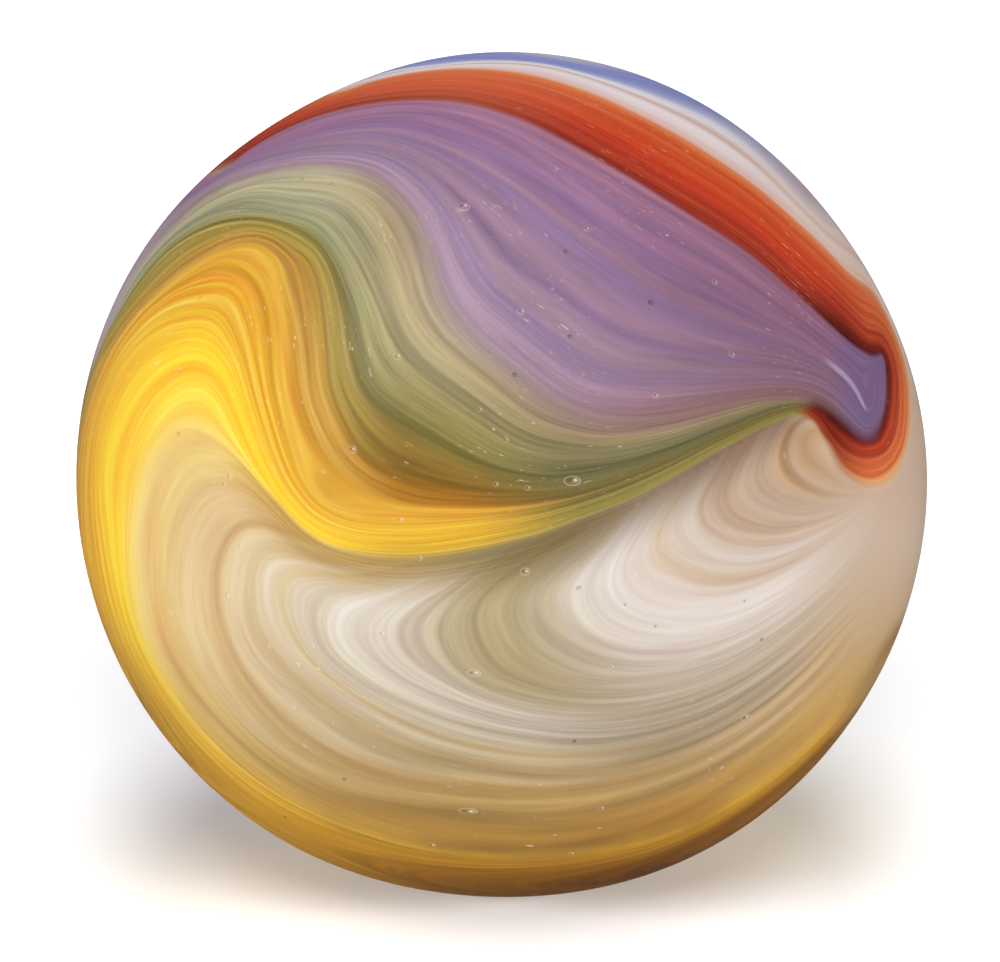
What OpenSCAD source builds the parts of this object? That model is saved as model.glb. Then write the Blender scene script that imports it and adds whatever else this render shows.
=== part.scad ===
// A glass marble: one solid ball of swirled glass, with small open pits in its skin.
// The origin is the ball's centre, +Z is up and the showing side faces -Y. Millimetres.

/* [Ball] */
// Diameter of the ball
ball_d = 25; // [16:0.5:50]

/* [Pits] */
// Radius of a typical pit, where a gas bubble opened at the surface
pit_r = 0.08; // [0.04:0.01:0.25]
// Depth of a pit, as a share of its own radius
pit_depth = 0.8; // [0.3:0.1:1.5]
// How far the showing side, where the pits lie, leans back from upright, in degrees
face_lean = 22; // [0:1:60]

/* [Hidden] */
ball_r = ball_d / 2;
ball_facets = 96;
pit_facets = 24;

// Each pit on the showing side: [to the right, up it, size]
// The first two are shares of the ball's radius, and the size is a share of pit_r.
pits = [
    [-0.47,  0.70, 1.0], [-0.40,  0.69, 1.0], [-0.71,  0.42, 0.9], [ 0.15,  0.53, 1.0],
    [ 0.35,  0.41, 1.2], [ 0.16,  0.33, 1.0], [ 0.03,  0.24, 1.0], [-0.76,  0.10, 1.0],
    [ 0.18, -0.26, 1.1], [ 0.29, -0.30, 0.7], [ 0.36, -0.35, 0.7], [ 0.57, -0.29, 0.8],
    [ 0.61, -0.38, 0.9], [ 0.17, -0.62, 0.9], [-0.37, -0.71, 0.9], [-0.51, -0.80, 1.0]
];

// One round cutter, set so that it bites pit_depth of its radius into the skin
module pit(right, up, size) {
    r = pit_r * size;
    outwards = sqrt(1 - right * right - up * up);
    reach = ball_r + r * (1 - pit_depth);
    rotate([-face_lean, 0, 0])
        translate(reach * [right, -outwards, up])
            sphere(r = r, $fn = pit_facets);
}

module marble() {
    color([0.74, 0.62, 0.50])
        difference() {
            sphere(r = ball_r, $fn = ball_facets);
            for (p = pits)
                pit(p[0], p[1], p[2]);
        }
}

marble();
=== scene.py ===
import math

import bpy
import numpy as np
from mathutils import Matrix, Vector


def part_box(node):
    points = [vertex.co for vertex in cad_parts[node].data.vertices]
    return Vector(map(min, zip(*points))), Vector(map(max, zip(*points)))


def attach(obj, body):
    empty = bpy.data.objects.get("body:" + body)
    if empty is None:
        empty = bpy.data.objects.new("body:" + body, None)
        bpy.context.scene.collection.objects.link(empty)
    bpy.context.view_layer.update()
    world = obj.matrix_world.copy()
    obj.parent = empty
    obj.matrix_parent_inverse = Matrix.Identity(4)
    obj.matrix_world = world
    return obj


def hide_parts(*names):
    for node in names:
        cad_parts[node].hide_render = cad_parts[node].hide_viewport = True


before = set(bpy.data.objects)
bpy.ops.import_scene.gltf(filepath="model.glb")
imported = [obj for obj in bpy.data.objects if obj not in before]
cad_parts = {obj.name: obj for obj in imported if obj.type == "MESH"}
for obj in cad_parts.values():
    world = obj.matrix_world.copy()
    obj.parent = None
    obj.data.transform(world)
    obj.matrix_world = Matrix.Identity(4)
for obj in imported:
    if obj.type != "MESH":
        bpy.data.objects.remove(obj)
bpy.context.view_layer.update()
print("frame loaded")

nodeLow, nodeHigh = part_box("marble")
ballRadius = min(nodeHigh - nodeLow) / 2           # the faceted node's narrowest way across
faceLean = math.radians(22)                      # the showing side leans back this far
lean = (math.sin(faceLean), math.cos(faceLean))

# The showing side's own axes: to the right, up it, and straight out of it
axisRight = np.array([1.0, 0.0, 0.0])
axisUp = np.array([0.0, lean[0], lean[1]])
axisOut = np.array([0.0, -lean[1], lean[0]])


def linearColour(code):
    parts = [int(code[i:i + 2], 16) / 255 for i in (1, 3, 5)]
    return [c / 12.92 if c <= 0.04045 else ((c + 0.055) / 1.055) ** 2.4 for c in parts] + [1.0]


def addNode(tree, kind, sockets=None, stops=None, **settings):
    node = tree.nodes.new(kind)
    for name, value in settings.items():
        setattr(node, name, value)
    for name, value in (sockets or {}).items():
        socket = node.inputs[name] if isinstance(name, int) else \
            [found for found in node.inputs if found.name == name and found.enabled][0]
        if isinstance(value, bpy.types.Node):
            value = [found for found in value.outputs if found.enabled][0]
        if isinstance(value, bpy.types.NodeSocket):
            tree.links.new(value, socket)
        else:
            socket.default_value = value
    for count, (place, code) in enumerate(stops or []):
        ramp = node.color_ramp.elements
        stop = ramp[count] if count < 2 else ramp.new(place)
        stop.position = place
        stop.color = linearColour(code)
    return node


# Camera
cameraPlan = {
    "away": 0.30,
    "width": 2.348,               # of the view, in radii of the ball
    "offset": (-0.0047, -0.0094), # of the view's middle from the ball's, right and up, in radii
}
cameraData = bpy.data.cameras.new("camera")
cameraData.type = "ORTHO"
cameraData.ortho_scale = cameraPlan["width"] * ballRadius
cameraData.clip_start = 0.01
cameraData.clip_end = 3.0
camera = bpy.data.objects.new("camera", cameraData)
bpy.context.scene.collection.objects.link(camera)
cameraPlace = axisOut * cameraPlan["away"]
cameraPlace = cameraPlace + (axisRight * cameraPlan["offset"][0] + axisUp * cameraPlan["offset"][1]) * ballRadius
camera.location = cameraPlace
camera.rotation_euler = (math.pi / 2 - faceLean, 0, 0)
bpy.context.scene.camera = camera
print("camera set")

# Guide curves for the swirl, drawn on the showing side in shares of the radius: right, up.
# Past 1 from the middle they run on over the back, and 2 is the back's middle.
# An outline is a list of stretches, each with how far its edge blurs.
outlines = {
    "tongue": [               # the lilac tongue inside the loop of bands
        (0.010, [(0.897, 0.287), (0.865, 0.285), (0.80, 0.332), (0.70, 0.421), (0.60, 0.510),
                 (0.50, 0.580), (0.40, 0.642), (0.30, 0.703), (0.20, 0.760), (0.10, 0.814),
                 (0.0, 0.855), (-0.10, 0.880), (-0.20, 0.887), (-0.30, 0.880), (-0.40, 0.862),
                 (-0.50, 0.829), (-0.60, 0.773), (-0.68, 0.715)]),
        (0.030, [(-0.82, 0.72), (-1.0, 0.70), (-1.25, 0.62), (-1.55, 0.45), (-1.85, 0.15),
                 (1.75, 0.05), (1.52, -0.15), (1.42, -0.50), (1.12, -0.85), (0.70, -1.12),
                 (0.20, -1.25), (-0.30, -1.18), (-0.70, -0.95), (-0.95, -0.65), (-1.08, -0.35),
                 (-1.09, -0.10), (-1.04, 0.12), (-0.965, 0.255)]),
        (0.040, [(-0.935, 0.33), (-0.90, 0.405), (-0.85, 0.495), (-0.80, 0.56), (-0.70, 0.65),
                 (-0.60, 0.695), (-0.50, 0.715), (-0.40, 0.715), (-0.31, 0.69), (-0.245, 0.64),
                 (-0.20, 0.57), (-0.175, 0.49), (-0.155, 0.42), (-0.115, 0.355), (-0.06, 0.30),
                 (0.0, 0.25), (0.06, 0.20), (0.13, 0.155), (0.22, 0.125), (0.32, 0.12),
                 (0.42, 0.135), (0.52, 0.16)]),
        (0.022, [(0.62, 0.182), (0.69, 0.186), (0.735, 0.178), (0.775, 0.155), (0.805, 0.125),
                 (0.835, 0.10), (0.86, 0.093), (0.882, 0.11)]),
        (0.012, [(0.897, 0.15), (0.904, 0.20), (0.904, 0.25)]),
    ],
    "field": [                # the outer edge of the loop, with the white field beyond it
        (0.010, [(0.88, 0.440), (0.84, 0.470), (0.80, 0.505), (0.70, 0.600), (0.60, 0.685),
                 (0.50, 0.752), (0.40, 0.812), (0.30, 0.863), (0.20, 0.906), (0.10, 0.938),
                 (0.0, 0.956), (-0.10, 0.961), (-0.20, 0.955), (-0.30, 0.938), (-0.40, 0.912)]),
        (0.040, [(-0.58, 1.0), (-0.85, 1.05), (-1.2, 1.0), (-1.5, 0.85), (-1.75, 0.6), (1.82, 0.45),
                 (1.55, 0.25), (1.32, 0.02), (1.15, -0.14), (1.03, -0.26), (0.93, -0.345)]),
        (0.070, [(0.86, -0.455), (0.76, -0.585), (0.62, -0.71), (0.42, -0.825), (0.20, -0.88),
                 (0.0, -0.89), (-0.20, -0.865), (-0.40, -0.80), (-0.55, -0.72), (-0.68, -0.61),
                 (-0.78, -0.48), (-0.84, -0.36), (-0.865, -0.24), (-0.865, -0.12), (-0.845, -0.01),
                 (-0.81, 0.07), (-0.76, 0.115)]),
        (0.040, [(-0.71, 0.115), (-0.66, 0.085)]),
        (0.010, [(-0.61, 0.035), (-0.55, -0.035), (-0.50, -0.092), (-0.45, -0.135), (-0.39, -0.165),
                 (-0.30, -0.185), (-0.20, -0.188), (-0.10, -0.176), (0.0, -0.157), (0.10, -0.132),
                 (0.20, -0.096), (0.30, -0.056), (0.40, -0.004), (0.50, 0.054), (0.60, 0.108),
                 (0.66, 0.135), (0.70, 0.145), (0.73, 0.132), (0.752, 0.095)]),
        (0.022, [(0.775, 0.05), (0.80, 0.012), (0.83, -0.013), (0.865, -0.026), (0.90, -0.018),
                 (0.93, 0.01), (0.95, 0.06), (0.962, 0.12), (0.963, 0.19), (0.955, 0.26)]),
        (0.018, [(0.937, 0.325), (0.912, 0.385)]),
    ],
    "ember": [                # the part of the loop that is orange, from the neck to the back
        (0.050, [(0.75, 0.02), (0.80, -0.07), (0.90, -0.12), (1.0, -0.08), (1.15, -0.05)]),
        (0.200, [(1.35, -0.14), (1.50, -0.15), (1.62, -0.12)]),
        (0.050, [(1.9, 0.05), (-1.4, 0.3), (-1.0, 0.55), (-0.80, 0.66), (-0.60, 0.74), (-0.30, 0.76),
                 (0.0, 0.60), (0.30, 0.45), (0.60, 0.32)]),
        (0.030, [(0.72, 0.20), (0.70, 0.145), (0.71, 0.10)]),
    ],
    "fold": [                 # the shaded crease under the loop, where the white field folds back
        (0.055, [(-0.63, 0.03), (-0.58, -0.07), (-0.49, -0.175), (-0.36, -0.245), (-0.20, -0.265),
                 (0.0, -0.25), (0.14, -0.205), (0.28, -0.135), (0.40, -0.070), (0.50, -0.010),
                 (0.60, 0.065), (0.68, 0.125)]),
        (0.035, [(0.66, 0.19), (0.50, 0.11), (0.30, 0.0), (0.10, -0.08), (-0.10, -0.12),
                 (-0.35, -0.11), (-0.50, -0.03), (-0.59, 0.07)]),
    ],
}

# Flow curves: every streak of glass keeps its own level, and the levels between are filled in.
flows = {
    "band": [
        (0.30, [(-0.965, 0.24), (-0.93, 0.325), (-0.90, 0.38), (-0.85, 0.455), (-0.80, 0.515),
                (-0.74, 0.562), (-0.67, 0.592), (-0.60, 0.603), (-0.55, 0.598), (-0.50, 0.584),
                (-0.45, 0.558), (-0.41, 0.510), (-0.385, 0.45), (-0.365, 0.38), (-0.35, 0.30),
                (-0.33, 0.23), (-0.30, 0.185), (-0.25, 0.145), (-0.20, 0.113), (-0.10, 0.058),
                (0.0, 0.018), (0.10, 0.002), (0.20, 0.010), (0.30, 0.032), (0.40, 0.066),
                (0.50, 0.108), (0.60, 0.148), (0.66, 0.166), (0.71, 0.168), (0.75, 0.150),
                (0.785, 0.115), (0.82, 0.085), (0.855, 0.073), (0.89, 0.085), (0.91, 0.125),
                (0.921, 0.19), (0.921, 0.26), (0.90, 0.315), (0.865, 0.325), (0.80, 0.385),
                (0.70, 0.475), (0.60, 0.565), (0.50, 0.635), (0.40, 0.695), (0.30, 0.755),
                (0.20, 0.81), (0.10, 0.86), (0.0, 0.893), (-0.10, 0.911), (-0.20, 0.913),
                (-0.30, 0.903), (-0.40, 0.882), (-0.50, 0.843)]),
        (0.38, [(-0.50, 0.552), (-0.45, 0.52), (-0.425, 0.47), (-0.41, 0.40), (-0.40, 0.31),
                (-0.385, 0.22), (-0.355, 0.15), (-0.31, 0.085), (-0.25, 0.04), (-0.15, 0.005),
                (-0.05, -0.018), (0.05, -0.025)]),
        (0.52, [(-0.70, 0.50), (-0.65, 0.515), (-0.60, 0.505), (-0.56, 0.47), (-0.535, 0.42),
                (-0.52, 0.36), (-0.51, 0.29), (-0.495, 0.20), (-0.475, 0.12), (-0.445, 0.05),
                (-0.40, -0.01), (-0.34, -0.05), (-0.26, -0.075), (-0.15, -0.082), (-0.05, -0.08),
                (0.05, -0.072), (0.15, -0.055)]),
        (0.45, [(-0.985, 0.13), (-0.96, 0.215), (-0.94, 0.262), (-0.90, 0.335), (-0.85, 0.402),
                (-0.80, 0.450), (-0.75, 0.493), (-0.70, 0.525), (-0.65, 0.551), (-0.60, 0.564),
                (-0.55, 0.556), (-0.50, 0.520), (-0.47, 0.46), (-0.452, 0.38), (-0.442, 0.30),
                (-0.43, 0.20), (-0.40, 0.12), (-0.36, 0.05), (-0.30, 0.0), (-0.20, -0.04),
                (-0.10, -0.053), (0.0, -0.057), (0.10, -0.05), (0.20, -0.03), (0.30, 0.003),
                (0.40, 0.042), (0.50, 0.09), (0.60, 0.135), (0.66, 0.157), (0.705, 0.161),
                (0.745, 0.14), (0.78, 0.095), (0.815, 0.06), (0.86, 0.045), (0.905, 0.065),
                (0.93, 0.13), (0.935, 0.21), (0.93, 0.275), (0.905, 0.335), (0.865, 0.355)]),
        (0.60, [(-0.985, 0.0), (-0.97, 0.12), (-0.94, 0.22), (-0.90, 0.30), (-0.85, 0.365),
                (-0.80, 0.41), (-0.75, 0.44), (-0.70, 0.457), (-0.65, 0.46), (-0.615, 0.44),
                (-0.595, 0.40), (-0.58, 0.34), (-0.57, 0.27), (-0.558, 0.20), (-0.54, 0.13),
                (-0.52, 0.065), (-0.49, -0.005), (-0.45, -0.06), (-0.40, -0.095), (-0.32, -0.118),
                (-0.20, -0.12), (-0.10, -0.112), (0.0, -0.10), (0.10, -0.082), (0.20, -0.055),
                (0.30, -0.02), (0.40, 0.024), (0.50, 0.077), (0.60, 0.125), (0.66, 0.15),
                (0.70, 0.156), (0.74, 0.132), (0.77, 0.085), (0.805, 0.045), (0.86, 0.022),
                (0.91, 0.045), (0.938, 0.10), (0.946, 0.19), (0.94, 0.27), (0.915, 0.345),
                (0.88, 0.385)]),
        (0.80, [(-0.95, 0.0), (-0.94, 0.10), (-0.91, 0.19), (-0.87, 0.26), (-0.82, 0.305),
                (-0.77, 0.33), (-0.72, 0.338), (-0.68, 0.325), (-0.65, 0.29), (-0.625, 0.24),
                (-0.605, 0.18), (-0.585, 0.12), (-0.56, 0.05), (-0.53, -0.01), (-0.49, -0.065),
                (-0.44, -0.11), (-0.37, -0.142), (-0.28, -0.156), (-0.18, -0.155), (-0.08, -0.142),
                (0.02, -0.125), (0.10, -0.108), (0.20, -0.075), (0.30, -0.038), (0.40, 0.012),
                (0.50, 0.065), (0.60, 0.117), (0.66, 0.142), (0.70, 0.150), (0.735, 0.135),
                (0.762, 0.09), (0.79, 0.04), (0.83, 0.005), (0.87, -0.005), (0.91, 0.015),
                (0.945, 0.075), (0.956, 0.17)]),
    ],
    "lilac": [
        (0.25, [(-0.60, 0.755), (-0.50, 0.80), (-0.40, 0.83), (-0.30, 0.845), (-0.20, 0.845),
                (-0.10, 0.82), (0.0, 0.78), (0.10, 0.72), (0.20, 0.65), (0.30, 0.58), (0.40, 0.52),
                (0.50, 0.46), (0.60, 0.40), (0.70, 0.34), (0.78, 0.28), (0.84, 0.22), (0.87, 0.15)]),
        (0.50, [(-0.65, 0.72), (-0.50, 0.77), (-0.40, 0.79), (-0.30, 0.79), (-0.20, 0.76),
                (-0.10, 0.70), (0.0, 0.62), (0.10, 0.53), (0.20, 0.46), (0.30, 0.39), (0.40, 0.35),
                (0.50, 0.32), (0.60, 0.30), (0.70, 0.275), (0.77, 0.24), (0.83, 0.18), (0.865, 0.13)]),
        (0.75, [(-0.70, 0.68), (-0.55, 0.74), (-0.40, 0.755), (-0.30, 0.74), (-0.22, 0.69),
                (-0.15, 0.60), (-0.10, 0.50), (-0.05, 0.42), (0.03, 0.35), (0.12, 0.28),
                (0.22, 0.22), (0.35, 0.205), (0.50, 0.215), (0.60, 0.22), (0.70, 0.215),
                (0.77, 0.19), (0.83, 0.135), (0.86, 0.11)]),
    ],
    "cream": [
        (0.35, [(-0.66, 0.032), (-0.71, 0.033), (-0.75, 0.01), (-0.785, -0.05), (-0.805, -0.14),
                (-0.81, -0.25), (-0.79, -0.36), (-0.74, -0.47), (-0.66, -0.57), (-0.55, -0.67),
                (-0.40, -0.76), (-0.20, -0.82), (0.0, -0.84), (0.20, -0.835), (0.40, -0.78),
                (0.60, -0.66), (0.75, -0.53), (0.86, -0.39)]),
        (0.7, [(-0.60, -0.03), (-0.65, -0.03), (-0.70, -0.05), (-0.73, -0.09), (-0.75, -0.15),
               (-0.76, -0.25), (-0.75, -0.33), (-0.72, -0.42), (-0.66, -0.52), (-0.58, -0.61),
               (-0.50, -0.67), (-0.40, -0.72), (-0.25, -0.76), (-0.10, -0.78), (0.10, -0.79),
               (0.30, -0.755), (0.45, -0.70), (0.60, -0.61), (0.70, -0.53), (0.80, -0.43)]),
        (1.2, [(-0.50, -0.14), (-0.55, -0.115), (-0.60, -0.115), (-0.635, -0.14), (-0.66, -0.19),
               (-0.67, -0.25), (-0.665, -0.33), (-0.64, -0.41), (-0.59, -0.49), (-0.51, -0.58),
               (-0.40, -0.655), (-0.25, -0.71), (-0.10, -0.735), (0.10, -0.745), (0.30, -0.715),
               (0.45, -0.665), (0.60, -0.58), (0.72, -0.48)]),
        (1.65, [(-0.46, -0.178), (-0.52, -0.16), (-0.57, -0.165), (-0.59, -0.20), (-0.60, -0.25),
                (-0.60, -0.33), (-0.57, -0.40), (-0.53, -0.45), (-0.45, -0.52), (-0.35, -0.59),
                (-0.25, -0.635), (-0.15, -0.665), (0.0, -0.69), (0.15, -0.70), (0.30, -0.68),
                (0.45, -0.635), (0.60, -0.555), (0.72, -0.455), (0.82, -0.34)]),
        (2.2, [(-0.34, -0.235), (-0.40, -0.235), (-0.46, -0.225), (-0.50, -0.235), (-0.515, -0.27),
               (-0.51, -0.32), (-0.49, -0.37), (-0.45, -0.43), (-0.38, -0.49), (-0.30, -0.54),
               (-0.20, -0.59), (-0.10, -0.625), (0.0, -0.648), (0.10, -0.66), (0.30, -0.645),
               (0.50, -0.58), (0.64, -0.49)]),
        (2.75, [(-0.24, -0.25), (-0.30, -0.26), (-0.38, -0.27), (-0.42, -0.30), (-0.43, -0.35),
                (-0.41, -0.41), (-0.35, -0.46), (-0.25, -0.52), (-0.10, -0.58), (0.05, -0.61),
                (0.20, -0.62), (0.35, -0.60), (0.50, -0.55), (0.64, -0.46), (0.76, -0.35)]),
        (3.5, [(-0.13, -0.245), (-0.20, -0.27), (-0.28, -0.32), (-0.30, -0.38), (-0.26, -0.44),
               (-0.18, -0.49), (-0.05, -0.54), (0.10, -0.575), (0.25, -0.58), (0.40, -0.555),
               (0.55, -0.495), (0.69, -0.40), (0.80, -0.29)]),
        (4.5, [(0.0, -0.215), (-0.06, -0.25), (-0.12, -0.30), (-0.14, -0.36), (-0.12, -0.42),
               (-0.07, -0.48), (0.05, -0.525), (0.20, -0.54), (0.36, -0.525), (0.52, -0.475),
               (0.66, -0.39)]),
        (5.0, [(0.09, -0.19), (0.02, -0.22), (-0.04, -0.27), (-0.06, -0.33), (-0.045, -0.40),
               (0.0, -0.45), (0.10, -0.495), (0.22, -0.512), (0.36, -0.502), (0.52, -0.45),
               (0.66, -0.365), (0.78, -0.27), (0.88, -0.15)]),
        (5.6, [(0.19, -0.155), (0.10, -0.20), (0.05, -0.26), (0.03, -0.32), (0.05, -0.38),
               (0.10, -0.42), (0.18, -0.455), (0.30, -0.47), (0.45, -0.45), (0.60, -0.385),
               (0.72, -0.30), (0.83, -0.19)]),
        (6.5, [(0.28, -0.13), (0.22, -0.19), (0.185, -0.25), (0.185, -0.31), (0.23, -0.36),
               (0.32, -0.39), (0.45, -0.385), (0.58, -0.34), (0.70, -0.265), (0.81, -0.17),
               (0.89, -0.06)]),
        (7.3, [(0.355, -0.09), (0.31, -0.14), (0.29, -0.19), (0.295, -0.24), (0.33, -0.28),
               (0.40, -0.305), (0.50, -0.305), (0.61, -0.275), (0.72, -0.21), (0.82, -0.13),
               (0.90, -0.03), (0.95, 0.08)]),
        (7.7, [(0.42, -0.045), (0.38, -0.09), (0.365, -0.135), (0.375, -0.18), (0.41, -0.215),
               (0.48, -0.24), (0.57, -0.235), (0.67, -0.20), (0.77, -0.14), (0.86, -0.065),
               (0.925, 0.02)]),
        (8.1, [(0.485, 0.0), (0.45, -0.04), (0.435, -0.09), (0.455, -0.14), (0.51, -0.172),
               (0.59, -0.18), (0.68, -0.16), (0.78, -0.11), (0.86, -0.05)]),
        (8.45, [(0.53, 0.025), (0.50, -0.02), (0.49, -0.065), (0.51, -0.105), (0.56, -0.135),
                (0.64, -0.145), (0.73, -0.125), (0.82, -0.08)]),
        (8.7, [(0.565, 0.045), (0.54, 0.0), (0.535, -0.04), (0.56, -0.08), (0.61, -0.105),
               (0.69, -0.11), (0.78, -0.085), (0.86, -0.04)]),
        (9.15, [(0.62, 0.07), (0.605, 0.03), (0.61, -0.01), (0.645, -0.045), (0.70, -0.065),
                (0.77, -0.07), (0.84, -0.055), (0.91, -0.01)]),
        (9.55, [(0.675, 0.09), (0.668, 0.05), (0.69, 0.01), (0.73, -0.02), (0.79, -0.04),
                (0.86, -0.04), (0.92, -0.01), (0.96, 0.05)]),
        (10.0, [(0.73, 0.105), (0.75, 0.065), (0.78, 0.02), (0.83, -0.015), (0.87, -0.025),
                (0.91, -0.01), (0.94, 0.02), (0.96, 0.07)]),
        (0.0, [(-0.76, 0.115), (-0.81, 0.07), (-0.845, -0.01), (-0.865, -0.12), (-0.865, -0.24),
               (-0.84, -0.36), (-0.78, -0.48), (-0.68, -0.61), (-0.55, -0.72), (-0.40, -0.80),
               (-0.20, -0.865), (0.0, -0.89), (0.20, -0.88), (0.42, -0.825), (0.62, -0.71),
               (0.76, -0.585), (0.86, -0.455)]),
    ],
    "crown": [                # the white and blue beyond the orange, over the top
        (0.0, [(0.94, 0.31), (0.88, 0.440), (0.80, 0.505), (0.70, 0.600), (0.60, 0.685),
               (0.50, 0.752), (0.40, 0.812), (0.30, 0.863), (0.20, 0.906), (0.10, 0.938),
               (0.0, 0.956), (-0.10, 0.961), (-0.20, 0.955), (-0.30, 0.938), (-0.40, 0.912)]),
        (0.5, [(0.985, 0.10), (0.88, 0.47), (0.78, 0.57), (0.70, 0.645), (0.60, 0.74), (0.50, 0.81),
               (0.40, 0.86), (0.30, 0.902), (0.20, 0.938), (0.10, 0.964), (0.0, 0.973),
               (-0.10, 0.971), (-0.20, 0.962), (-0.35, 0.935)]),
        (0.75, [(1.02, 0.20), (1.0, 0.40), (0.90, 0.48), (0.75, 0.655), (0.60, 0.795), (0.50, 0.855),
                (0.40, 0.893), (0.30, 0.924), (0.20, 0.950), (0.10, 0.972), (0.0, 0.981),
                (-0.10, 0.980), (-0.20, 0.972)]),
        (1.5, [(1.2, 0.2), (1.15, 0.55), (0.95, 0.95), (0.6, 1.15), (0.2, 1.22), (-0.3, 1.18),
               (-0.8, 1.12)]),
    ],
}
sampleStep = {"band": 0.025, "lilac": 0.04, "cream": 0.04, "crown": 0.035}
smoothing = {"band": 3e-5, "lilac": 1e-4, "cream": 3e-4, "crown": 1e-4}


def onBall(points):
    flat = np.array(points, float)
    reach = np.hypot(flat[:, 0], flat[:, 1])
    share = np.where(reach <= 1, reach, 2 - reach)
    out = np.sqrt(np.maximum(1 - share * share, 0)) * np.where(reach <= 1, 1, -1)
    return np.column_stack([flat * (share / np.maximum(reach, 1e-9))[:, None], out])


def smoothCurve(points, step, closed=False, extra=None):
    knots = onBall(points)
    if extra is not None:
        knots = np.column_stack([knots, extra])
    count = len(knots)
    found = []
    for i in range(count if closed else count - 1):
        near = [i - 1, i, i + 1, i + 2]
        near = [k % count if closed else min(max(k, 0), count - 1) for k in near]
        a, b, c, d = knots[near]
        parts = max(1, math.ceil(np.linalg.norm(c[:3] - b[:3]) / step))
        for t in np.arange(parts) / parts:
            found.append(b + 0.5 * ((c - a) * t + (2 * a - 5 * b + 4 * c - d) * t * t
                                    + (3 * b - a - 3 * c + d) * t ** 3))
    if not closed:
        found.append(knots[-1])
    found = np.array(found)
    found[:, :3] /= np.linalg.norm(found[:, :3], axis=1)[:, None]
    return found


def flowLevels(places, curves, step, ease):
    # a smooth level at every place, that takes each curve's own level along the curve
    anchors = []
    levels = []
    for level, points, closed in curves:
        line = smoothCurve(points, step, closed)
        anchors.append(line)
        levels.append(np.full(len(line), level))
    anchors = np.vstack(anchors)
    levels = np.concatenate(levels)
    count = len(anchors)
    gaps = np.sqrt(np.maximum(2 - 2 * anchors @ anchors.T, 0))
    system = np.zeros((count + 4, count + 4))
    system[:count, :count] = gaps ** 3 + ease * np.eye(count)
    system[:count, count] = 1
    system[:count, count + 1:] = anchors
    system[count, :count] = 1
    system[count + 1:, :count] = anchors.T
    weights = np.linalg.solve(system, np.concatenate([levels, np.zeros(4)]))
    made = []
    for part in np.array_split(places, max(1, len(places) // 4000)):
        gaps = np.sqrt(np.maximum(2 - 2 * part @ anchors.T, 0))
        made.append(gaps ** 3 @ weights[:count] + weights[count] + part @ weights[count + 1:])
    return np.concatenate(made)


def outlineDistance(places, stretches):
    # how far inside an outline each place is, as a share of the edge's blur there
    points = [p for blur, part in stretches for p in part]
    blurs = [blur for blur, part in stretches for p in part]
    line = smoothCurve(points, 0.012, True, np.array(blurs))
    starts = line[:, :3]
    ends = np.roll(starts, -1, axis=0)
    along = ends - starts
    sides = np.cross(starts, along)
    sides /= np.linalg.norm(sides, axis=1)[:, None]
    made = []
    for part in np.array_split(places, max(1, len(places) // 4000)):
        nearest = np.argmax(part @ starts.T, axis=1)
        best = np.full(len(part), 9.0)
        side = np.zeros(len(part))
        for k in (nearest - 1, nearest):
            share = np.sum((part - starts[k]) * along[k], axis=1) / np.sum(along[k] ** 2, axis=1)
            share = np.clip(share, 0, 1)[:, None]
            gap = np.linalg.norm(part - starts[k] - along[k] * share, axis=1)
            side += np.sum(part * sides[k], axis=1) / np.maximum(gap, 1e-6)
            best = np.minimum(best, gap)
        made.append(np.sign(side) * best / line[nearest, 3])
    return np.concatenate(made)


# The ball
ballShape = {
    "facets": 119,                      # along each side of the six fields that wrap the ball
    "flats": [                          # where the ball cooled a little flat: right, up, depth, spread
        (0.81, 0.59, 0.015, 0.42),
        (-0.50, 0.87, 0.013, 0.36),
        (-0.05, -1.0, 0.014, 0.42),
    ],
    "pitRadius": 0.00008,
    "pitDepth": 0.8,                    # share of a pit's radius that goes into the skin
    "pits": [                           # right, up, size
        (-0.47, 0.70, 1.0), (-0.40, 0.69, 1.0), (-0.71, 0.42, 0.9), (0.15, 0.53, 1.0),
        (0.35, 0.41, 1.2), (0.16, 0.33, 1.0), (0.03, 0.24, 1.0), (-0.76, 0.10, 1.0),
        (0.18, -0.26, 1.1), (0.29, -0.30, 0.7), (0.36, -0.35, 0.7), (0.57, -0.29, 0.8),
        (0.61, -0.38, 0.9), (0.17, -0.62, 0.9), (-0.37, -0.71, 0.9), (-0.51, -0.80, 1.0),
    ],
}
shape = ballShape


def skinRadius(dirs):
    # the radius of the skin in a direction given in the showing side's axes
    lost = np.zeros(len(dirs))
    for right, up, depth, spread in ballShape["flats"]:
        middle = np.array([right, up, 0.0])
        middle /= np.linalg.norm(middle)
        angle = np.arccos(np.clip(dirs @ middle, -1, 1))
        lost += depth * np.exp(-(angle / spread) ** 2)
    return ballRadius * (1 - lost)


def toAxes(dirs):
    return np.column_stack([dirs @ axisRight, dirs @ axisUp, dirs @ axisOut])


def fromAxes(right, up, out):
    return Vector(axisRight * right + axisUp * up + axisOut * out)


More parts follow.
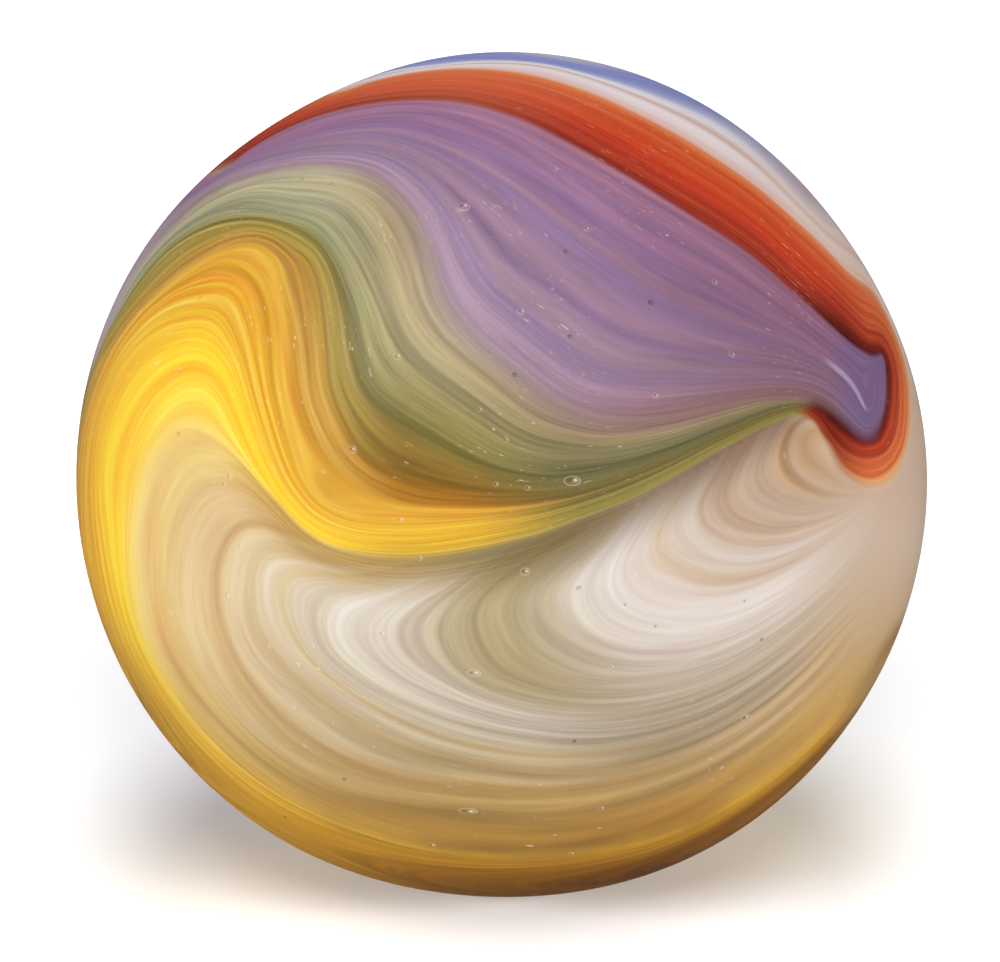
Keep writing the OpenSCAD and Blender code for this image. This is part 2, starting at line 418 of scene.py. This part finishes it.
bpy.ops.object.select_all(action="DESELECT")
bpy.ops.mesh.primitive_cube_add(size=2, location=(0, 0, 0))
marble = bpy.context.object
marble.name = "marble_glass"
bpy.ops.object.mode_set(mode="EDIT")
bpy.ops.mesh.select_all(action="SELECT")
bpy.ops.mesh.subdivide(number_cuts=shape["facets"] - 1)
bpy.ops.object.mode_set(mode="OBJECT")
mesh = marble.data
grid = np.zeros(len(mesh.vertices) * 3)
mesh.vertices.foreach_get("co", grid)
grid = np.tan(grid.reshape(-1, 3) * math.pi / 4)         # evens out the facets on the ball
dirs = grid / np.linalg.norm(grid, axis=1)[:, None]
dirs = np.asarray(dirs)
skin = dirs * skinRadius(toAxes(dirs))[:, None]
mesh.vertices.foreach_set("co", skin.ravel())
mesh.update()
print("ball made,", len(mesh.vertices), "points")

cutters = []
for right, up, size in shape["pits"]:
    out = math.sqrt(1 - right * right - up * up)
    pitRadius = shape["pitRadius"] * size
    reach = skinRadius(np.array([[right, up, out]]))[0] + pitRadius * (1 - shape["pitDepth"])
    bpy.ops.mesh.primitive_ico_sphere_add(subdivisions=3, radius=pitRadius,
                                          location=fromAxes(right, up, out) * reach)
    cutters.append(bpy.context.object)
bpy.ops.object.select_all(action="DESELECT")
for cutter in cutters:
    cutter.select_set(True)
bpy.context.view_layer.objects.active = cutters[0]
bpy.ops.object.join()
cutter = bpy.context.object
bpy.ops.object.select_all(action="DESELECT")
marble.select_set(True)
bpy.context.view_layer.objects.active = marble
cut = marble.modifiers.new("pits", "BOOLEAN")
cut.operation = "DIFFERENCE"
cut.solver = "EXACT"
cut.object = cutter
bpy.ops.object.modifier_apply(modifier="pits")
bpy.data.objects.remove(cutter)
bpy.ops.object.shade_smooth_by_angle(angle=math.radians(40))
print("pits cut,", len(marble.data.polygons), "faces")

# Closed bubbles just under the skin, each a low dome in it
bubbleShape = {
    "sides": 16,
    "rings": 10,
    "flatness": 0.40,                   # height over width
    "rise": 0.50,                       # share of its height that stands proud of the skin
    "bubbles": [                        # right, up, half length, half width, in shares of the radius
        (-0.090, 0.634, 0.0150, 0.0135), (0.045, 0.389, 0.0095, 0.0085), (0.198, 0.583, 0.0070, 0.0070),
        (0.127, 0.724, 0.0060, 0.0060), (0.500, 0.458, 0.0080, 0.0070), (0.540, 0.288, 0.0080, 0.0070),
        (0.361, 0.191, 0.0080, 0.0070), (-0.052, 0.158, 0.0070, 0.0060), (-0.245, 0.283, 0.0100, 0.0090),
        (-0.351, 0.064, 0.0110, 0.0100), (0.165, -0.009, 0.0210, 0.0120), (-0.014, -0.017, 0.0070, 0.0060),
        (0.061, -0.026, 0.0070, 0.0060), (-0.238, -0.101, 0.0080, 0.0070), (-0.193, -0.191, 0.0070, 0.0060),
        (-0.639, 0.002, 0.0090, 0.0080), (-0.651, -0.017, 0.0070, 0.0070), (-0.644, -0.278, 0.0090, 0.0110),
        (-0.613, -0.163, 0.0070, 0.0070), (-0.281, -0.368, 0.0095, 0.0090), (-0.066, -0.460, 0.0170, 0.0100),
        (0.054, -0.222, 0.0120, 0.0100), (0.571, -0.564, 0.0130, 0.0080), (-0.080, -0.785, 0.0230, 0.0120),
        (0.233, -0.778, 0.0080, 0.0070), (0.163, -0.887, 0.0080, 0.0080), (-0.165, -0.866, 0.0090, 0.0080),
        (0.257, -0.446, 0.0060, 0.0060),
    ],
}
shape = bubbleShape
domes = []
domeFrames = []
for right, up, halfLength, halfWidth in shape["bubbles"]:
    direction = np.array([right, up, math.sqrt(1 - right * right - up * up)])
    outward = fromAxes(*direction)
    along = (Vector(axisRight) - outward * outward.dot(Vector(axisRight))).normalized()
    across = outward.cross(along)
    size = Vector((halfLength, halfWidth, shape["flatness"] * halfWidth)) * ballRadius * 1.2
    middle = outward * (skinRadius(direction[None])[0] - size.z * (1 - shape["rise"]))
    turn = Matrix((along, across, outward)).transposed()
    bpy.ops.mesh.primitive_uv_sphere_add(segments=shape["sides"], ring_count=shape["rings"],
                                         radius=1, location=middle, rotation=turn.to_euler())
    dome = bpy.context.object
    dome.scale = size
    domes.append(dome)
    domeFrames.append((middle, turn, size))
bpy.ops.object.select_all(action="DESELECT")
for dome in domes:
    dome.select_set(True)
bpy.context.view_layer.objects.active = domes[0]
bpy.ops.object.shade_smooth()
marble.select_set(True)
bpy.context.view_layer.objects.active = marble
bpy.ops.object.join()
mesh = marble.data
print("bubbles set,", len(mesh.polygons), "faces")

points = np.zeros(len(mesh.vertices) * 3)
mesh.vertices.foreach_get("co", points)
points = points.reshape(-1, 3)
places = toAxes(points / np.linalg.norm(points, axis=1)[:, None])

tongueLine = [p for blur, part in outlines["tongue"] for p in part]
fieldLine = [p for blur, part in outlines["field"] for p in part]
levelCurves = {name: [(level, line, False) for level, line in flows[name]] for name in flows}
levelCurves["band"] += [(0.0, tongueLine, True), (1.0, fieldLine, True)]
orangeSide = tongueLine[:23]
greenSide = tongueLine[23:]
levelCurves["lilac"] += [(0.0, orangeSide, False), (1.0, greenSide, False)]

marks = {name: outlineDistance(places, outlines[name]) for name in outlines}

# Over a bubble the colour carries painted light: a pale rim and a bright spot as painted highlights, and a dark
# side as painted shade
rimReach = math.sqrt(1 - (1 - bubbleShape["rise"]) ** 2)
paintedBubbleLightShade = np.zeros(len(points))
for middle, turn, size in domeFrames:
    inside = (points - np.array(middle)) @ np.array(turn) / np.array(size)
    onDome = np.abs(np.linalg.norm(inside, axis=1) - 1) < 0.02
    flat = inside[:, :2] / rimReach
    # rim and spot are painted highlights, side is painted shade
    rim = np.exp(-((np.hypot(flat[:, 0], flat[:, 1]) - 0.85) / 0.16) ** 2)
    side = np.exp(-((flat[:, 0] + 0.35) ** 2 + (flat[:, 1] - 0.15) ** 2) / 0.12)
    spot = np.exp(-((flat[:, 0] - 0.22) ** 2 + (flat[:, 1] - 0.10) ** 2) / 0.06)
    paintedBubbleLightShade += np.where(onDome, 0.45 * rim - 0.62 * side + 0.95 * spot, 0)
marks["paintedBubbleLightShade"] = paintedBubbleLightShade
for name, curves in levelCurves.items():
    marks[name] = flowLevels(places, curves, sampleStep[name], smoothing[name])
    print("flow of the", name, "laid,", round(float(marks[name].min()), 2), round(float(marks[name].max()), 2))
for name, values in marks.items():
    layer = mesh.attributes.new(name, "FLOAT", "POINT")
    layer.data.foreach_set("value", np.clip(values, -20, 20).astype(np.float32))

# Soda-lime swirl glass, fire-polished: opaque coloured streaks close under a clear smooth skin,
# so the eye gets soft colour with fine drawn lines in it and a broad quiet gloss.
glassFinish = {
    "ior": 1.52,
    "roughness": 0.35,
    "specular": 0.25,
}
finish = glassFinish
glass = bpy.data.materials.new("swirl_glass_fire_polished")
glass.use_nodes = True
tree = glass.node_tree
tree.nodes.clear()

# Values are kept by name, and the tables below draw on them
place = addNode(tree, "ShaderNodeTexCoord").outputs["Object"]
unit = addNode(tree, "ShaderNodeVectorMath", {0: place, "Scale": 1 / ballRadius}, operation="SCALE")
values = {name: addNode(tree, "ShaderNodeAttribute", attribute_name=name).outputs["Fac"]
          for name in marks}
for name, axis in (("right", axisRight), ("up", axisUp), ("out", axisOut)):
    values[name] = addNode(tree, "ShaderNodeVectorMath", {0: unit, 1: list(axis)},
                           operation="DOT_PRODUCT").outputs["Value"]

# Streaks drawn out along a flow: the flow, how many cross one of its levels, how many fit along
# one radius, detail, where they start, and how strongly they swing about the middle
streakSets = {
    "bandBroad": ("band", 7.0, 0.45, 1.0, 1.3, 1.6),
    "bandFine": ("band", 46.0, 1.9, 3.0, 5.7, 2.2),
    "lilacBroad": ("lilac", 6.0, 0.5, 1.0, 9.1, 1.6),
    "lilacFine": ("lilac", 30.0, 2.6, 4.0, 3.9, 2.0),
    "creamBroad": ("cream", 1.1, 0.4, 1.0, 7.7, 1.6),
    "creamFine": ("cream", 5.0, 1.7, 3.0, 2.2, 2.0),
    "crownBroad": ("crown", 5.0, 0.5, 1.0, 4.1, 1.6),
    "crownFine": ("crown", 24.0, 1.7, 3.0, 8.3, 2.0),
    "bandDash": ("band", 80.0, 38.0, 1.0, 2.6, 1.0),
    "lilacDash": ("lilac", 110.0, 38.0, 1.0, 6.4, 1.0),
    "creamDash": ("cream", 15.0, 36.0, 1.0, 4.8, 1.0),
}
for name, (flow, across, along, detail, start, gain) in streakSets.items():
    spread = addNode(tree, "ShaderNodeVectorMath", {0: unit, "Scale": along}, operation="SCALE")
    turn = addNode(tree, "ShaderNodeMath", {0: values[flow], 1: across, 2: start},
                   operation="MULTIPLY_ADD")
    grain = addNode(tree, "ShaderNodeTexNoise",
                    {"Vector": spread, "W": turn, "Scale": 1.0, "Detail": detail, "Roughness": 0.6},
                    noise_dimensions="4D")
    values[name] = addNode(tree, "ShaderNodeMath", {0: grain, 1: gain, 2: 0.5 - gain / 2},
                           operation="MULTIPLY_ADD")

# Clouds with no flow: how many fit along one radius, and detail
clouds = {
    "mottle": (5.0, 3.0),
    "cluster": (2.6, 2.0),
}
for name, (scale, detail) in clouds.items():
    values[name] = addNode(tree, "ShaderNodeTexNoise", {"Vector": unit, "Scale": scale, "Detail": detail})

# Sums: one value and another, times a share, plus a shift
sums = {
    "bandPushed": ("band", "bandBroad", 0.07, -0.035),
    "lilacPushed": ("lilac", "lilacBroad", 0.14, -0.07),
    "creamPushed": ("cream", "creamBroad", 0.35, -0.175),
    "crownPushed": ("crown", "crownBroad", 0.12, -0.06),
    "tongueRough": ("tongue", "mottle", 1.6, -0.8),
    "fieldRough": ("field", "mottle", 1.6, -0.8),
}
for name, (first, second, share, shift) in sums.items():
    part = addNode(tree, "ShaderNodeMath", {0: values[second], 1: share, 2: shift},
                   operation="MULTIPLY_ADD")
    values[name] = addNode(tree, "ShaderNodeMath", {0: values[first], 1: part}, operation="ADD")

# Soft shares: a value, where the share starts and ends, and what it is there
shares = {
    "midShare": ("right", -0.45, -0.22, 0.0, 1.0),
    "rightShare": ("right", -0.12, 0.22, 0.0, 1.0),
    "downward": ("up", -0.15, -0.60, 0.0, 1.0),
    "hookShare": ("up", 0.50, 0.30, 0.0, 1.0),
    "neckShare": ("right", 0.88, 0.76, 0.0, 0.9),
    # painted light: the orange is lightened toward the top limb
    "topPaintedLight": ("up", 0.80, 0.95, 0.0, 0.30),
    "emberShare": ("ember", -1.0, 1.0, 0.0, 1.0),
    "limbEast": ("right", 0.74, 0.88, 0.0, 1.0),
    "lilacRight": ("right", 0.10, 0.85, 0.0, 0.55),
    "lilacLeft": ("right", -0.70, -0.95, 0.0, 0.9),
    "lilacLow": ("lilac", 0.55, 1.0, 0.0, 1.0),
    "tipShare": ("right", 0.74, 0.84, 0.0, 0.62),
    "tipEast": ("right", 0.745, 0.79, 0.0, 0.50),
    "tipWest": ("right", 0.862, 0.845, 0.0, 1.0),
    "streakIn": ("lilac", 0.29, 0.345, 0.0, 1.0),
    "streakOut": ("lilac", 0.41, 0.355, 0.0, 1.0),
    "lilacNear": ("right", 0.0, 0.40, 0.0, 0.75),
    "creamEast": ("right", 0.02, 0.42, 0.0, 1.0),
    "creamRight": ("right", 0.62, 0.92, 0.0, 1.0),
    "creaseShare": ("fold", -1.2, 1.2, 0.0, 0.90),
    "topShare": ("up", 0.12, 0.42, 0.0, 1.0),
    "crownFar": ("right", 0.48, 0.76, 0.0, 0.65),
    "tongueEdge": ("tongueRough", -1.0, 1.0, 0.0, 1.0),
    "fieldEdge": ("fieldRough", 1.0, -1.0, 0.0, 1.0),
    "clusterShare": ("cluster", 0.44, 0.64, 0.08, 1.0),
    "dashUp": ("up", -0.45, -0.15, 0.0, 1.0),
    "bandDashShare": ("bandDash", 0.67, 0.76, 0.0, 0.62),
    "lilacDashShare": ("lilacDash", 0.67, 0.76, 0.0, 0.66),
    "creamDashShare": ("creamDash", 0.69, 0.77, 0.0, 0.5),
    # painted highlight and painted shade over the bubbles
    "paintedBubbleHighlight": ("paintedBubbleLightShade", 0.0, 1.0, 0.0, 1.0),
    "paintedBubbleShade": ("paintedBubbleLightShade", 0.0, -0.8, 0.0, 0.8),
}
for name, (source, low, high, toLow, toHigh) in shares.items():
    values[name] = addNode(tree, "ShaderNodeMapRange",
                           {"Value": values[source], "From Min": low, "From Max": high,
                            "To Min": toLow, "To Max": toHigh}, interpolation_type="SMOOTHSTEP")

products = {
    "lilacLowNear": ("lilacLow", "lilacNear"),
    "streakHere": ("streakIn", "streakOut"),
    "streakShort": ("streakHere", "tipWest"),
    "tipStreak": ("streakShort", "tipEast"),
    "bandDashesUp": ("bandDashShare", "dashUp"),
    "bandDashes": ("bandDashesUp", "clusterShare"),
    "lilacDashes": ("lilacDashShare", "clusterShare"),
    "creamDashes": ("creamDashShare", "clusterShare"),
}
for name, (first, second) in products.items():
    values[name] = addNode(tree, "ShaderNodeMath", {0: values[first], 1: values[second]},
                           operation="MULTIPLY")

# Colours met along a value, each with where it stands
ramps = {
    "bundleLeft": ("bandPushed", [
        (-0.30, "#B0A0B2"), (-0.03, "#B8AC94"), (0.04, "#B4AA86"), (0.09, "#B6B08C"), (0.13, "#A09E80"),
        (0.17, "#A8A07A"), (0.21, "#9C9C78"), (0.25, "#A89F6E"), (0.285, "#807A40"), (0.31, "#8C7C36"),
        (0.335, "#B29C54"), (0.36, "#9A863A"), (0.385, "#B4984C"), (0.41, "#B08834"), (0.435, "#C49A46"),
        (0.46, "#C4923A"), (0.48, "#CC9E4A"), (0.50, "#CC9630"), (0.525, "#E8B242"), (0.555, "#D29626"),
        (0.59, "#EDB238"), (0.635, "#E5A524"), (0.67, "#EEBC44"), (0.72, "#E6AB28"), (0.77, "#F4C53A"),
        (0.83, "#F6C830"), (0.90, "#FACE30"), (1.0, "#F6D04C"), (1.1, "#F2D684"),
    ]),
    "bundleMid": ("bandPushed", [
        (-0.30, "#A087A0"), (-0.03, "#9E8A78"), (0.04, "#A08D6A"), (0.09, "#AA9A70"), (0.13, "#9A8C62"),
        (0.17, "#A49662"), (0.21, "#9C9056"), (0.25, "#94884C"), (0.285, "#706632"), (0.32, "#7C6A2E"),
        (0.355, "#8E6C2A"), (0.385, "#80601C"), (0.42, "#9A681E"), (0.45, "#A06A1A"), (0.475, "#BE8026"),
        (0.50, "#D0962F"), (0.525, "#E4AC38"), (0.55, "#D49A2A"), (0.60, "#E8B234"), (0.66, "#DEA62C"), (0.73, "#E2AE2C"), (0.82, "#DAA82C"),
        (0.92, "#D6AC34"), (1.0, "#C49E3C"), (1.1, "#B2924A"),
    ]),
    "bundleRight": ("bandPushed", [
        (-0.30, "#94707F"), (-0.02, "#967A70"), (0.10, "#98855F"), (0.18, "#7E7650"), (0.25, "#6C6540"),
        (0.32, "#6E6640"), (0.38, "#7E723E"), (0.44, "#6C6234"), (0.50, "#907638"), (0.56, "#74683A"),
        (0.64, "#8C8040"), (0.74, "#84783C"), (0.84, "#94863C"), (0.93, "#978A4C"), (1.0, "#8D7D52"),
        (1.1, "#8D7D58"),
    ]),
    "bundleLow": ("bandPushed", [
        (-0.30, "#A47434"), (0.0, "#9E6C26"), (0.20, "#8E5E1E"), (0.35, "#9A6820"), (0.45, "#8C5C1A"),
        (0.60, "#AE7C24"), (0.72, "#B98A2A"), (0.84, "#CE9E30"), (0.95, "#DCB03C"), (1.10, "#D4AC50"),
    ]),
    # painted shade: the bands darken toward the bottom limb
    "lowShade": ("up", [
        (-1.0, "#9C8864"), (-0.95, "#C0AC86"), (-0.88, "#DACEB6"), (-0.75, "#F4EEE2"), (-0.60, "#FFFFFF"),
    ]),
    "orangeTop": ("bandPushed", [
        (-0.10, "#8E3A36"), (0.02, "#982F22"), (0.09, "#9C2E1C"), (0.17, "#BA4024"), (0.25, "#AC331F"),
        (0.34, "#C83E20"), (0.46, "#CC3E1C"), (0.58, "#D64E24"), (0.66, "#D0461E"), (0.75, "#DF602C"),
        (0.83, "#D95526"), (0.91, "#E67036"), (0.98, "#E98A56"), (1.08, "#EFAE92"),
    ]),
    "orangeHook": ("bandPushed", [
        (-0.10, "#60140A"), (0.06, "#681206"), (0.20, "#8C200E"), (0.35, "#BE4218"), (0.42, "#B03A16"),
        (0.50, "#DC6634"), (0.58, "#D25C2A"), (0.66, "#E67638"), (0.73, "#DA6A34"), (0.82, "#EA9256"),
        (0.92, "#E09A62"), (1.05, "#E2B696"),
    ]),
    "lilacTones": ("lilacPushed", [
        (-0.10, "#A8687C"), (0.01, "#B0788C"), (0.07, "#A07294"), (0.13, "#AA7894"), (0.19, "#967096"),
        (0.25, "#A47694"), (0.31, "#98749C"), (0.37, "#A27C92"), (0.43, "#8E7298"), (0.50, "#A07E92"),
        (0.56, "#8E7294"), (0.62, "#A28496"), (0.69, "#927A9C"), (0.76, "#AC8EA2"), (0.84, "#A0849A"),
        (0.92, "#A0888E"), (1.0, "#988680"), (1.1, "#968A74"),
    ]),
    "creamTones": ("creamPushed", [
        (-1.0, "#CEA654"), (-0.10, "#E8C67E"), (0.35, "#E4C176"), (0.70, "#DBBA7C"), (0.95, "#E2C896"),
        (1.20, "#D0AD79"), (1.45, "#E2CEA8"), (1.70, "#CDB384"), (1.95, "#E0D0B4"), (2.20, "#CEB68C"),
        (2.45, "#DCCFBA"), (2.75, "#D2C4AC"), (3.20, "#DBD0C2"), (3.80, "#D4C7B6"), (4.50, "#C0B190"),
        (5.0, "#B2A177"), (5.50, "#B7A67E"), (5.85, "#C4B697"), (6.05, "#BEAE8A"), (6.30, "#CBBEA8"),
        (7.0, "#DCD1C6"), (7.50, "#DACCC0"), (7.70, "#D6BC9E"), (7.90, "#D8C8BC"), (8.25, "#D1BDB0"),
        (8.70, "#BF9F84"), (10.0, "#CFA884"),
    ]),
    "creamTonesEast": ("creamPushed", [
        (-0.10, "#D2A65A"), (0.35, "#DAB068"), (0.70, "#CEAC76"), (0.95, "#D6B88A"),
        (1.20, "#C2A474"), (1.45, "#D0B58E"), (1.70, "#BCA27A"), (1.95, "#C4B096"), (2.20, "#B7A07C"),
        (2.45, "#C6B49C"), (2.75, "#BBA688"), (3.20, "#C6B5A0"), (3.80, "#C0AE96"), (4.50, "#C9B9A4"),
        (5.0, "#C8B8A4"), (5.85, "#D0C2B4"), (6.30, "#DDD0C6"), (7.0, "#DFD2C8"),
        (7.50, "#DCCCC0"), (7.70, "#D6BEA4"), (8.0, "#D8C8BC"), (8.45, "#CCB39C"),
        (8.70, "#C4A68C"), (9.0, "#C4A892"), (9.30, "#C0A288"), (9.50, "#B68C60"), (9.70, "#C8A888"),
        (9.90, "#B98C56"), (10.1, "#CFA884"), (10.3, "#B48256"), (10.6, "#C89C78"), (11.0, "#B27C54"),
    ]),
    "rightTones": ("up", [
        (-0.80, "#A87E3C"), (-0.68, "#B48842"), (-0.56, "#C09450"), (-0.42, "#BF9E70"), (-0.30, "#C8AA8A"),
        (-0.15, "#D0B6A0"), (0.0, "#D2B49C"), (0.15, "#D4B69C"), (0.35, "#D2AE8E"),
    ]),
    # darker and browner toward the bottom: partly the glass's own colour, partly painted shade
    "lowTint": ("up", [
        (-1.0, "#7A6038"), (-0.93, "#937B58"), (-0.85, "#AC9A76"), (-0.78, "#BEAE8C"), (-0.70, "#CAC1AD"),
        (-0.60, "#DCD8D2"), (-0.48, "#EAE6E2"), (-0.36, "#F8F5F2"), (-0.25, "#FFFFFF"),
    ]),
    "creaseTones": ("right", [
        (-0.68, "#D4AA50"), (-0.50, "#B48A42"), (-0.35, "#B08C48"), (-0.18, "#A08246"), (0.0, "#7E6A3A"),
        (0.15, "#766238"), (0.32, "#7E6644"), (0.50, "#795A43"), (0.66, "#785842"),
    ]),
    "crownTones": ("crownPushed", [
        (-0.20, "#F0B48E"), (0.03, "#EAC0B0"), (0.15, "#EFD2CE"), (0.38, "#FAECEE"), (0.48, "#D9B8AC"),
        (0.55, "#F8ECF0"), (0.65, "#EEECF6"), (0.73, "#ACB0DC"), (0.84, "#949CDA"), (1.05, "#9EA4E2"),
        (1.30, "#CFCDE0"), (1.60, "#DAD2DA"), (2.0, "#D8D2CE"),
    ]),
}
for name, (source, stops) in ramps.items():
    low = stops[0][0]
    reach = stops[-1][0] - low
    share = addNode(tree, "ShaderNodeMapRange",
                    {"Value": values[source], "From Min": low, "From Max": low + reach})
    stops = [((stand - low) / reach, code) for stand, code in stops]
    values[name] = addNode(tree, "ShaderNodeValToRGB", {"Fac": share}, stops=stops)

# Layers from the bottom up: what is made, how, by what share, over what, and with what
layers = [
    ("bundle", "MIX", "midShare", "bundleLeft", "bundleMid"),
    ("bundle", "MIX", "rightShare", "bundle", "bundleRight"),
    ("bundle", "MIX", "downward", "bundle", "bundleLow"),
    ("bundle", "MIX", "limbEast", "bundle", "#AC8856"),
    # painted shade toward the bottom limb
    ("bundle", "MULTIPLY", 1.0, "bundle", "lowShade"),
    ("hook", "MULTIPLY", "neckShare", "orangeHook", "#A87868"),
    # painted light: pale orange mixed in toward the top limb
    ("orangeHigh", "MIX", "topPaintedLight", "orangeTop", "#F09060"),
    ("orange", "MIX", "hookShare", "orangeHigh", "hook"),
    ("bands", "MIX", "emberShare", "bundle", "orange"),
    ("bands", "OVERLAY", 0.45, "bands", "bandFine"),
    ("bands", "MIX", "bandDashes", "bands", "#EFD9B4"),
    ("lilacs", "MIX", "lilacRight", "lilacTones", "#835468"),
    ("lilacs", "MIX", "lilacLowNear", "lilacs", "#8A5E58"),
    ("lilacs", "MIX", "lilacLeft", "lilacs", "#BCA6B6"),
    ("lilacs", "MIX", "tipShare", "lilacs", "#74608E"),
    ("lilacs", "MIX", "tipStreak", "lilacs", "#C6C2DA"),
    ("lilacs", "OVERLAY", 0.28, "lilacs", "lilacFine"),
    ("lilacs", "MIX", "lilacDashes", "lilacs", "#E8C8C4"),
    ("creams", "MIX", "creamEast", "creamTones", "creamTonesEast"),
    # creams darken toward the bottom: partly own colour, partly painted shade
    ("creams", "MULTIPLY", 1.0, "creams", "lowTint"),
    ("creams", "OVERLAY", 0.32, "creams", "creamFine"),
    ("creams", "MIX", "creamRight", "creams", "rightTones"),
    ("creams", "MIX", "creamDashes", "creams", "#F0E0C8"),
    ("crease", "OVERLAY", 0.30, "creaseTones", "bandFine"),
    ("creams", "MIX", "creaseShare", "creams", "crease"),
    ("crowns", "MIX", "crownFar", "crownTones", "#E6C6B0"),
    ("crowns", "OVERLAY", 0.28, "crowns", "crownFine"),
    ("beyond", "MIX", "topShare", "creams", "crowns"),
    ("colour", "MIX", "tongueEdge", "bands", "lilacs"),
    ("colour", "MIX", "fieldEdge", "colour", "beyond"),
    # painted shade on the dark side of each bubble
    ("colour", "MIX", "paintedBubbleShade", "colour", "#4A3428"),
    # painted highlight on the pale rim and bright spot of each bubble
    ("colour", "MIX", "paintedBubbleHighlight", "colour", "#FFF0E4"),
]
for name, kind, share, under, over in layers:
    over = linearColour(over) if over[0] == "#" else values[over]
    values[name] = addNode(tree, "ShaderNodeMix",
                           {"Factor": values.get(share, share), "A": values[under], "B": over},
                           data_type="RGBA", blend_type=kind)
colour = values["colour"]

surface = addNode(tree, "ShaderNodeBsdfPrincipled",
                  {"Base Color": colour, "Roughness": finish["roughness"], "IOR": finish["ior"],
                   "Specular IOR Level": finish["specular"]})
addNode(tree, "ShaderNodeOutputMaterial", {"Surface": surface.outputs[0]})
mesh.materials.clear()
mesh.materials.append(glass)

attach(marble, "root")
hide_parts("marble")
print("glass coloured")

# Floor, light and air
stagePlan = {
    "floorSize": 2.0,
    "floorColour": "#F1F2F3",
    "airColour": "#FFFFFF",
    "airLight": 0.08,               # what the air gives the ball, with black flags kept from its gloss
    "airGloss": 0.06,
}
floorHeight = float(points[:, 2].min())
bpy.ops.object.select_all(action="DESELECT")
bpy.ops.mesh.primitive_plane_add(size=stagePlan["floorSize"], location=(0, 0, floorHeight))
floor = bpy.context.object
floor.name = "floor"
floor.visible_glossy = False
paper = bpy.data.materials.new("matt_white_paper")
paper.use_nodes = True
paperShader = paper.node_tree.nodes["Principled BSDF"]
paperShader.inputs["Base Color"].default_value = linearColour(stagePlan["floorColour"])
paperShader.inputs["Roughness"].default_value = 1.0
paperShader.inputs["Specular IOR Level"].default_value = 0.0
floor.data.materials.append(paper)

floorOnly = bpy.data.collections.new("floor_only")
floorOnly.objects.link(floor)
marbleOnly = bpy.data.collections.new("marble_only")
marbleOnly.objects.link(marble)
# kind, place in radii of the ball, size in radii or as an angle, power, what it lights
lamps = {
    "key": ("AREA", (-3.0, -3.5, 7.0), 6.0, 0.042, marbleOnly),
    "fill": ("AREA", (5.0, -5.0, 4.0), 6.0, 0.007, marbleOnly),
    "dome": ("SUN", (0.0, 0.0, 10.0), math.pi, 1.50, marbleOnly),
    "lowLeft": ("SUN", (-7.9, -5.5, 2.6), 0.28, 4.15, floorOnly),
    "lowRight": ("SUN", (7.9, -5.5, 2.6), 0.28, 4.15, floorOnly),
    "front": ("SUN", (0.0, -7.4, 6.7), 0.42, 1.85, floorOnly),
    "high": ("SUN", (0.0, 0.5, 9.9), 0.50, 1.50, floorOnly),
}
for name, (kind, spot, size, power, lit) in lamps.items():
    lampData = bpy.data.lights.new(name, kind)
    if kind == "AREA":
        lampData.shape = "DISK"
        lampData.size = size * ballRadius
    else:
        lampData.angle = size
    lampData.energy = power
    lamp = bpy.data.objects.new(name, lampData)
    bpy.context.scene.collection.objects.link(lamp)
    lamp.location = Vector(spot) * ballRadius
    lamp.rotation_euler = (-Vector(spot)).to_track_quat("-Z", "Y").to_euler()
    lamp.light_linking.receiver_collection = lit
    lamp.visible_glossy = name != "dome"

world = bpy.data.worlds.new("studio_air")
bpy.context.scene.world = world
world.use_nodes = True
air = world.node_tree
air.nodes.clear()
rays = addNode(air, "ShaderNodeLightPath").outputs
airColour = linearColour(stagePlan["airColour"])
backLight = addNode(air, "ShaderNodeBackground", {"Color": airColour, "Strength": stagePlan["airLight"]})
backGloss = addNode(air, "ShaderNodeBackground", {"Color": airColour, "Strength": stagePlan["airGloss"]})
backSeen = addNode(air, "ShaderNodeBackground", {"Color": airColour, "Strength": 1.0})
picked = addNode(air, "ShaderNodeMixShader", {0: rays["Is Glossy Ray"], 1: backLight.outputs[0],
                                              2: backGloss.outputs[0]})
picked = addNode(air, "ShaderNodeMixShader", {0: rays["Is Camera Ray"], 1: picked.outputs[0],
                                              2: backSeen.outputs[0]})
addNode(air, "ShaderNodeOutputWorld", {"Surface": picked.outputs[0]})
bpy.context.scene.view_settings.view_transform = "Standard"
print("stage lit")
